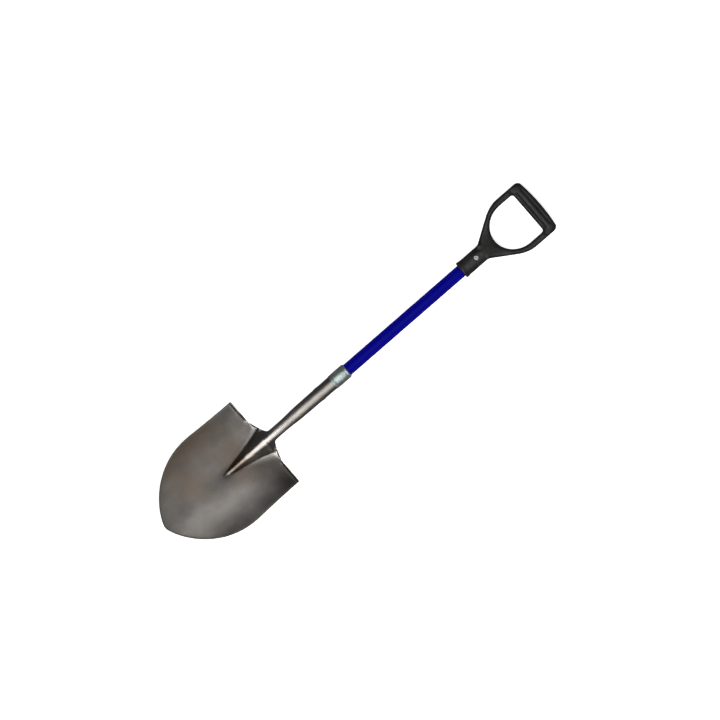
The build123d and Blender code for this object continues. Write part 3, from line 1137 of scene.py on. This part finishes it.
@dataclass
class SocketCollar:
    """Sleeve over the socket's mouth, with rolled rims and drawn down onto the shaft."""

    datum: Datum
    finish: bpy.types.Material
    start: float = 185.0 * MM
    end: float = 225.0 * MM
    radius: float = 16.3 * MM
    over_socket: float = 15.25 * MM
    over_shaft: float = 13.45 * MM
    mouth: float = SOCKET_MOUTH
    groove: float = 0.5 * MM
    groove_width: float = 1.6 * MM
    groove_slope: float = 1.6
    rim: float = 2.6 * MM
    rim_round: float = 0.5 * MM
    drawn_length: float = 0.8 * rim
    drawn_round: float = 0.6 * MM
    lip: float = 0.9 * MM
    lip_round: float = 0.2 * MM
    flats: int = 96

    def rolled_groove(self, middle: float) -> list[Corner]:
        """Return the corners of a shallow groove rolled round the sleeve.

        Args:
            middle: The reach of the groove's middle.

        Returns:
            Corners for the sleeve's profile.
        """
        half = self.groove_width / 2
        floor = self.radius - self.groove
        return [
            (middle - self.groove_slope * half, self.radius, half / 2),
            (middle - half, floor, half / 2),
            (middle + half, floor, half / 2),
            (middle + self.groove_slope * half, self.radius, half / 2),
        ]

    def build(self) -> bpy.types.Object:
        """Turn the sleeve."""
        corners = [
            (self.start, self.over_socket, 0.0),
            (self.start, self.radius, self.rim_round),
            *self.rolled_groove(self.start + self.rim + self.groove_width),
            *self.rolled_groove(self.end - 2 * self.rim - self.groove_width),
            (self.end - self.drawn_length, self.radius, self.drawn_round),
            (self.end, self.over_shaft + self.lip, self.rim_round),
            (self.end, self.over_shaft, self.lip_round),
            (self.mouth, self.over_shaft, 0.0),
            (self.mouth, self.over_socket, 0.0),
        ]
        piece = turned("socket_sleeve", rounded(corners), self.datum.at(0.0), ALONG, self.flats)
        piece.data.materials.append(self.finish)
        enter(piece, Slot.COLLAR, "socket_collar")
        return piece


@dataclass
class Rivets:
    """The rivet across the socket and the tubular one through the grip."""

    datum: Datum
    finish: bpy.types.Material
    shank: float = 2.9 * MM
    socket_reach: float = 150.0 * MM
    socket_seat: float = 14.8 * MM
    socket_head_radius: float = 5.2 * MM
    socket_head_height: float = 0.7 * MM
    socket_head_foot: float = -2.0 * MM
    crown_share: float = 0.6
    crown_round: float = 1.0 * MM
    grip_reach: float = GRIP_RIVET_REACH
    grip_seat: float = GRIP_RIVET_SEAT
    grip_head_radius: float = 5.0 * MM
    grip_head_height: float = 1.2 * MM
    dimple_radius: float = 2.1 * MM
    dimple_depth: float = 1.0 * MM
    dimple_floor_share: float = 0.8
    washer: float = 1.2 * MM
    washer_radius: float = 7.0 * MM
    washer_ease: float = 0.25 * MM
    clinch_radius: float = 4.2 * MM
    clinch_height: float = 0.8 * MM
    bore_radius: float = 1.9 * MM
    bore_depth: float = 6.0 * MM
    flats: int = 48

    def socket_rivet(self) -> bpy.types.Object:
        """Head one end of the socket's rivet, and set its twin by Geometry Nodes."""
        corners = [
            (-self.socket_seat, 0.0, 0.0),
            (-self.socket_seat, self.shank, 0.0),
            (self.socket_head_foot, self.shank, 0.0),
            (self.socket_head_foot, self.socket_head_radius, 0.0),
            (self.socket_head_height / 3, self.socket_head_radius, 0.2 * MM),
            (self.socket_head_height, self.socket_head_radius * self.crown_share, self.crown_round),
            (self.socket_head_height, 0.0, 0.0),
        ]
        piece = turned("socket_rivet_heads", rounded(corners), Vector(), UP, self.flats)
        form = FormTree("set_rivet", {"Seat": self.socket_seat})
        line = form.node("GeometryNodeMeshLine", mode="END_POINTS")
        middle = self.datum.at(self.socket_reach)
        for socket, sign in (("Start Location", 1), ("Offset", -1)):
            spot = form.node("ShaderNodeCombineXYZ")
            spot.inputs[0].default_value = middle.x
            spot.inputs[2].default_value = middle.z
            wire(form.tree, ((form.size("Seat") * sign).socket, spot.inputs[1]))
            wire(form.tree, (spot.outputs[0], line.inputs[socket]))
        line.inputs["Count"].default_value = 2
        outward = form.node("ShaderNodeSeparateXYZ")
        wire(form.tree, (form.node("GeometryNodeInputPosition").outputs[0], outward.inputs[0]))
        aim = form.node("ShaderNodeCombineXYZ")
        wire(form.tree, (outward.outputs[1], aim.inputs[1]))
        turn = form.node("FunctionNodeAlignRotationToVector", axis="Z")
        wire(form.tree, (aim.outputs[0], turn.inputs["Vector"]))
        instances = form.node("GeometryNodeInstanceOnPoints")
        wire(
            form.tree,
            (line.outputs["Mesh"], instances.inputs["Points"]),
            (form.inputs.outputs["Geometry"], instances.inputs["Instance"]),
            (turn.outputs["Rotation"], instances.inputs["Rotation"]),
        )
        form.close(instances.outputs["Instances"], self.finish)
        form.form(piece)
        tidy_mesh(piece)
        enter(piece, Slot.RIVET, "socket_rivet")
        return piece

    def grip_rivet(self) -> bpy.types.Object:
        """Turn the grip's rivet: a dimpled head, a shank and a clinched tail."""
        top = self.grip_seat + self.grip_head_height
        bottom = -self.grip_seat - self.washer
        tail = bottom - self.clinch_height
        corners = [
            (top - self.dimple_depth, 0.0, 0.0),
            (top - self.dimple_depth, self.dimple_radius * self.dimple_floor_share, 0.2 * MM),
            (top, self.dimple_radius, 0.3 * MM),
            (top, self.grip_head_radius, 0.8 * MM),
            (self.grip_seat, self.grip_head_radius, 0.1 * MM),
            (self.grip_seat, self.shank, 0.0),
            (bottom, self.shank, 0.0),
            (bottom, self.clinch_radius, 0.1 * MM),
            (tail, self.clinch_radius, 0.35 * MM),
            (tail, self.bore_radius, 0.5 * MM),
            (bottom + self.bore_depth, self.bore_radius, 0.0),
            (bottom + self.bore_depth, 0.0, 0.0),
        ]
        origin = self.datum.at(self.grip_reach)
        piece = turned("grip_rivet_body", rounded(corners), origin, UP, self.flats)
        piece.data.materials.append(self.finish)
        enter(piece, Slot.RIVET, "grip_rivet")
        return piece

    def grip_washer(self) -> bpy.types.Object:
        """Turn the washer under the clinched tail."""
        low, high = -self.grip_seat - self.washer, -self.grip_seat
        corners = [
            (low, self.shank, 0.0),
            (low, self.washer_radius, self.washer_ease),
            (high, self.washer_radius, self.washer_ease),
            (high, self.shank, 0.0),
        ]
        origin = self.datum.at(self.grip_reach)
        piece = turned("grip_washer", rounded(corners), origin, UP, self.flats)
        piece.data.materials.append(self.finish)
        enter(piece, Slot.RIVET, "grip_rivet_washer")
        return piece

    def build(self) -> None:
        """Set all the rivets."""
        self.socket_rivet()
        self.grip_rivet()
        self.grip_washer()


@dataclass
class DGrip:
    """One-piece moulded grip: socket, web, two arms and the hand bar.

    The ring of arms and bar is drawn as sections between the hand opening and
    the outline. It is joined to the turned socket, and the join is melted
    together as a moulding is, before the bore and the rivet's seats are cut.
    """

    datum: Datum
    finish: bpy.types.Material
    mouth: float = 538.0 * MM
    lip_length: float = 6.0 * MM
    lip_radius: float = 19.0 * MM
    lip_ease: float = 1.0 * MM
    lip_slope: float = 1.5 * MM
    socket_radius: float = 18.0 * MM
    flare: float = 597.0 * MM
    flare_tuck: float = 12.0 * MM
    bore_end: float = 600.5 * MM
    bore_radius: float = 13.45 * MM
    apex: float = 630.5 * MM
    straight: float = 685.0 * MM
    opening_end: float = 721.0 * MM
    opening_half_width: float = 49.5 * MM
    opening_corner: float = 6.5 * MM
    half_width: float = 63.8 * MM
    shoulder: float = 645.0 * MM
    shoulder_half_width: float = 48.6 * MM
    shoulder_pull: float = 20.0 * MM
    side: float = 692.0 * MM
    side_pull: float = 18.0 * MM
    corner: float = 747.0 * MM
    corner_round: float = 11.0 * MM
    end: float = 752.0 * MM
    arm_half_height: float = 11.5 * MM
    bar_half_height: float = 16.0 * MM
    bar_start: float = opening_end - 8.0 * MM
    bar_full: float = opening_end + 4.0 * MM
    web_half_height: float = 17.0 * MM
    web_full: float = flare - 6.0 * MM
    web_end: float = apex + 4.0 * MM
    arm_fullness: float = 3.0
    bar_fullness: float = 2.4
    face_start: float = 0.55
    face_end: float = 0.95
    arm_groove: float = 1.3 * MM
    arm_groove_place: float = 0.5
    arm_groove_width: float = 0.13
    arm_groove_run: float = 14.0 * MM
    channel: float = 3.0 * MM
    channel_width: float = 2.0 * MM
    channel_places: tuple[float, float] = (6.6 * MM, 21.0 * MM)
    channel_start: float = 44.0 * MM
    channel_end: float = 50.0 * MM
    channel_run: float = 6.0 * MM
    seat_height: float = GRIP_RIVET_SEAT
    seat_radius: float = 7.6 * MM
    clearance: float = 30.0 * MM
    overrun: float = 5.0 * MM
    rivet_reach: float = GRIP_RIVET_REACH
    crease: float = math.radians(40)
    stations: int = 288
    section_points: int = 72
    curve_steps: int = 12
    arch_steps: int = 24
    corner_steps: int = 8
    flats: int = 96
    seat_flats: int = 64
    voxel: float = 1.0 * MM

    def outline(self) -> list[Point]:
        """Return one side of the grip's outline, from the flare to the end of the bar."""
        tuck = self.flare - self.flare_tuck
        points: list[Point] = [(tuck, 0.0), (tuck, self.socket_radius), (self.flare, self.socket_radius)]
        lean = (self.shoulder - self.flare, self.shoulder_half_width - self.socket_radius)
        start = Vector((self.shoulder, self.shoulder_half_width))
        end = Vector((self.side, self.half_width))
        pull_in = start + Vector(lean).normalized() * self.shoulder_pull
        pull_out = end - Vector((self.side_pull, 0.0))
        steps = self.curve_steps
        for i in range(steps + 1):
            t = i / steps
            bend = start.lerp(pull_in, t).lerp(pull_in.lerp(pull_out, t), t)
            other = pull_in.lerp(pull_out, t).lerp(pull_out.lerp(end, t), t)
            points.append(tuple(bend.lerp(other, t)))
        crown = self.end - self.corner
        arc = [
            (self.end - crown * (k / steps) ** 2, self.half_width * k / steps)
            for k in range(steps - 1, -1, -1)
        ]
        corners = [
            (self.side, self.half_width, 0.0),
            (self.corner, self.half_width, self.corner_round),
            (*arc[0], 0.0),
        ]
        return points + rounded(corners, self.corner_steps)[1:-1] + arc

    def opening(self) -> list[Point]:
        """Return one side of the hand opening, from its apex to the bar."""
        length = self.straight - self.apex
        points: list[Point] = []
        for i in range(self.arch_steps + 1):
            angle = math.pi / 2 * i / self.arch_steps
            reach = self.straight - length * math.cos(angle)
            points.append((reach, self.opening_half_width * math.sin(angle)))
        corners = [
            (*points[-1], 0.0),
            (self.opening_end, self.opening_half_width, self.opening_corner),
            (self.opening_end, 0.0, 0.0),
        ]
        return points + rounded(corners, self.corner_steps)[1:]

    def radius_at(self, line: list[Point], angle: float) -> float:
        """Measure how far a line lies from the middle of the opening.

        Args:
            line: One side of a contour.
            angle: The direction to look in, from the bar round to the socket.

        Returns:
            The distance.
        """
        toward = Vector((math.cos(angle), abs(math.sin(angle))))
        across = Vector((-toward.y, toward.x))
        best = 0.0
        for (a, b), (c, d) in zip(line, line[1:]):
            first = Vector((a - self.straight, b))
            second = Vector((c - self.straight, d))
            low, high = first.dot(across), second.dot(across)
            if (low <= HAIR <= high + 2 * HAIR) or (high <= HAIR <= low + 2 * HAIR):
                share = 0.0 if abs(high - low) < HAIR / 1000 else -low / (high - low)
                if -SLACK <= share <= 1 + SLACK:
                    best = max(best, first.lerp(second, share).dot(toward))
        return best

    def half_height(self, reach: float) -> float:
        """Return half the moulding's height at a reach."""
        bar = smooth(reach, self.bar_start, self.bar_full)
        web = 1.0 - smooth(reach, self.web_full, self.web_end)
        height = mix(self.arm_half_height, self.bar_half_height, bar)
        return mix(height, self.web_half_height, web)

    def relief(self, reach: float, y: float, across: float) -> float:
        """Return how deep the moulding's face is sunk at a point.

        Args:
            reach: The point's reach.
            y: Its distance from the middle.
            across: Its place across the arm, from -1 at the opening to 1.

        Returns:
            The depth of the grooves along the arms and the channels on the bar.
        """
        bar = smooth(reach, self.opening_end - self.channel_run, self.opening_end)
        arm = (1 - bar) * smooth(reach, self.apex, self.apex + self.arm_groove_run)
        grooves = sum(
            math.exp(-(((across - place) / self.arm_groove_width) ** 2))
            for place in (-self.arm_groove_place, self.arm_groove_place)
        )
        along = 1 - smooth(abs(y), self.channel_start, self.channel_end)
        channels = sum(
            math.exp(-(((reach - self.opening_end - place) / self.channel_width) ** 2))
            for place in self.channel_places
        )
        return arm * grooves * self.arm_groove + bar * along * channels * self.channel

    def ring(self) -> bpy.types.Object:
        """Draw the web, arms and bar as sections round the hand opening."""
        outer, inner = self.outline(), self.opening()
        points = []
        for i in range(self.stations):
            angle = 2 * math.pi * i / self.stations
            toward = Vector((math.cos(angle), math.sin(angle)))
            near, far = (self.radius_at(line, angle) for line in (inner, outer))
            middle, half = (near + far) / 2, (far - near) / 2
            bar = smooth(self.straight + middle * toward.x, self.opening_end, self.end)
            flat = 2 / mix(self.arm_fullness, self.bar_fullness, bar)
            for j in range(self.section_points):
                turn = 2 * math.pi * j / self.section_points
                across = math.copysign(abs(math.cos(turn)) ** flat, math.cos(turn))
                up = math.copysign(abs(math.sin(turn)) ** flat, math.sin(turn))
                spot = toward * (middle + across * half)
                reach = self.straight + spot.x
                height = self.half_height(reach) * up
                face = smooth(abs(up), self.face_start, self.face_end) * self.relief(reach, spot.y, across)
                points.append(self.datum.at(reach, spot.y, height - math.copysign(face, up)))
        count = self.section_points
        faces = grid_faces(self.stations, count, wrap=True)
        last = (self.stations - 1) * count
        faces += [(last + j, last + (j + 1) % count, (j + 1) % count, j) for j in range(count)]
        piece = new_piece("d_grip_moulding", points, faces)
        tidy_mesh(piece)
        return piece

    def socket(self) -> bpy.types.Object:
        """Turn the grip's socket, with its lip and a nose that dies into the web."""
        lip_end = self.mouth + self.lip_length
        corners = [
            (self.mouth, 0.0, 0.0),
            (self.mouth, self.lip_radius, self.lip_ease),
            (lip_end, self.lip_radius, self.lip_ease),
            (lip_end + self.lip_slope, self.socket_radius, self.lip_ease),
            (self.flare, self.socket_radius, 6.0 * MM),
            (self.flare + 16.0 * MM, self.socket_radius * 0.86, 5.0 * MM),
            (self.apex - 5.0 * MM, self.socket_radius * 0.55, 4.0 * MM),
            (self.apex - 4.0 * MM, 0.0, 0.0),
        ]
        return turned("grip_socket", rounded(corners), self.datum.at(0.0), ALONG, self.flats)

    def melt(self, piece: bpy.types.Object) -> None:
        """Flow the socket and the ring into one skin."""
        flow = piece.modifiers.new("melt", "REMESH")
        flow.mode = "VOXEL"
        flow.voxel_size = self.voxel
        soften = piece.modifiers.new("soften", "SMOOTH")
        soften.factor = 0.5
        soften.iterations = 2
        settle(piece)

    def bore(self, piece: bpy.types.Object) -> None:
        """Cut the shaft's bore and the rivet's two seats."""
        before, radius = self.mouth - self.overrun, self.bore_radius
        bore = [(before, 0.0), (before, radius), (self.bore_end, radius), (self.bore_end, 0.0)]
        carve(piece, turned("bore", bore, self.datum.at(0.0), ALONG, self.flats), "DIFFERENCE")
        near, far, radius = self.seat_height, self.clearance, self.seat_radius
        seat = [(near, 0.0), (near, radius), (far, radius), (far, 0.0)]
        middle = self.datum.at(self.rivet_reach)
        for face in Face:
            carve(piece, turned("seat", seat, middle, UP * face.value, self.seat_flats), "DIFFERENCE")

    def shade(self, piece: bpy.types.Object) -> None:
        """Shade the skin smooth, with creases where it was cut."""
        work = bmesh.new()
        work.from_mesh(piece.data)
        for face in work.faces:
            face.smooth = True
            face.material_index = 0
        for edge in work.edges:
            edge.smooth = not edge.is_manifold or edge.calc_face_angle(0.0) < self.crease
        work.to_mesh(piece.data)
        work.free()

    def build(self) -> bpy.types.Object:
        """Join, melt and bore the moulding."""
        piece = self.ring()
        carve(piece, self.socket(), "UNION")
        self.melt(piece)
        self.bore(piece)
        piece.data.materials.clear()
        piece.data.materials.append(self.finish)
        self.shade(piece)
        enter(piece, Slot.MOULDING, "d_grip")
        return piece


# ---------------------------------------------------------------- studio


@dataclass(frozen=True)
class Softbox:
    """A soft light that the camera doesn't see, in metres and watts."""

    name: str
    place: Vector
    aim: Vector
    width: float
    depth: float
    power: float

    def hang(self) -> None:
        """Hang the light in the scene."""
        light = bpy.data.lights.new(self.name, "AREA")
        light.shape = "RECTANGLE"
        light.size = self.width
        light.size_y = self.depth
        light.energy = self.power
        lamp = bpy.data.objects.new(self.name, light)
        lamp.location = self.place
        lamp.rotation_euler = (self.aim - self.place).to_track_quat("-Z", "Y").to_euler()
        lamp.visible_camera = False
        bpy.context.scene.collection.objects.link(lamp)


@dataclass(frozen=True)
class Studio:
    """A pale floor, soft lights and the camera that looks straight down."""

    view_height: float = 41.39
    lens: float = 1000.0
    sensor: float = 36.0
    turn: float = math.radians(-41.0)
    look_at: Point = (0.0186, -0.0018)
    floor_half: float = 6.0
    floor_z: float = -0.8 * MM
    floor_tone: Colour = (0.93, 0.93, 0.93)
    floor_glow: float = 0.72
    white: Colour = (1.0, 1.0, 1.0)
    world_strength: float = 0.075

    def lights(self) -> list[Softbox]:
        """List the lights.

        The first three light the blade, each from where one part of its dish
        reflects. The strip and the veil lie over the ridge and the socket,
        and the tail lights the turned steps.
        """
        blade = Vector((-0.35, 0.0, 0.02))
        key = blade + Vector((0.66, 0.295, 0.69)) * 2.6
        fill = blade + Vector((0.635, -0.196, 0.745)) * 2.8
        sky = blade + Vector((0.65, -0.14, 0.75)) * 3.2
        strip, under_strip = Vector((-0.42, -0.75, 3.2)), Vector((-0.06, -0.75, 0.0))
        veil, under_veil = Vector((-0.25, -2.6, 3.3)), Vector((0.11, -2.6, 0.0))
        return [
            Softbox("key", key, blade, 0.65, 0.65, 3.3),
            Softbox("fill", fill, blade, 0.6, 0.6, 0.8),
            Softbox("sky", sky, blade, 2.8, 1.7, 9.2),
            Softbox("strip", strip, under_strip, 3.0, 0.95, 42.0),
            Softbox("veil", veil, under_veil, 9.0, 0.6, 150.0),
            Softbox("tail", Vector((-2.6, 0.0, 1.6)), blade, 2.4, 1.2, 6.0),
        ]

    def floor(self) -> None:
        """Lay the floor."""
        half = self.floor_half
        signs = ((-1, -1), (1, -1), (1, 1), (-1, 1))
        corners = [Vector((a * half, b * half, self.floor_z)) for a, b in signs]
        piece = new_piece("floor", corners, [(0, 1, 2, 3)])
        shader = Shader("studio_floor")
        shader.surface.inputs["Base Color"].default_value = (*self.floor_tone, 1.0)
        shader.surface.inputs["Emission Color"].default_value = (*self.white, 1.0)
        shader.set(Emission_Strength=self.floor_glow, Roughness=1.0, Specular_IOR_Level=0.0)
        piece.data.materials.append(shader.material)
        piece.visible_glossy = False

    def camera(self) -> None:
        """Set the camera over the shovel, square to it."""
        camera = bpy.data.cameras.new("camera")
        camera.lens = self.lens
        camera.sensor_width = self.sensor
        stand = bpy.data.objects.new("camera", camera)
        stand.location = (*self.look_at, self.view_height)
        stand.rotation_euler = (0.0, 0.0, self.turn)
        bpy.context.scene.collection.objects.link(stand)
        bpy.context.scene.camera = stand

    def world(self) -> None:
        """Fill the rest of the room with a faint even light."""
        world = bpy.data.worlds.new("studio")
        world.use_nodes = True
        background = world.node_tree.nodes["Background"]
        background.inputs["Color"].default_value = (*self.white, 1.0)
        background.inputs["Strength"].default_value = self.world_strength
        bpy.context.scene.world = world

    def build(self) -> None:
        """Set up the floor, the lights and the camera."""
        self.floor()
        for light in self.lights():
            light.hang()
        self.world()
        bpy.context.scene.view_settings.view_transform = "Standard"
        self.camera()


def main() -> None:
    """Build the shovel piece by piece, then the studio round it."""
    logging.basicConfig(level=logging.INFO, format="%(name)s %(message)s")
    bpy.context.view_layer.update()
    datum = Datum.from_frame()
    steel = LacqueredSteel().build()
    Blade(datum, steel).build()
    SocketCollar(datum, GalvanisedSteel().build()).build()
    Shaft(datum, PulledFibreglass().build()).build()
    DGrip(datum, GrainedMoulding().build()).build()
    Rivets(datum, RivetSteel().build()).build()
    timber = CoreTimber().build()
    for node in ("lower_core_plug", "upper_core_plug"):
        dress_node(node, timber)
    Studio().build()


if __name__ == "__main__":
    main()
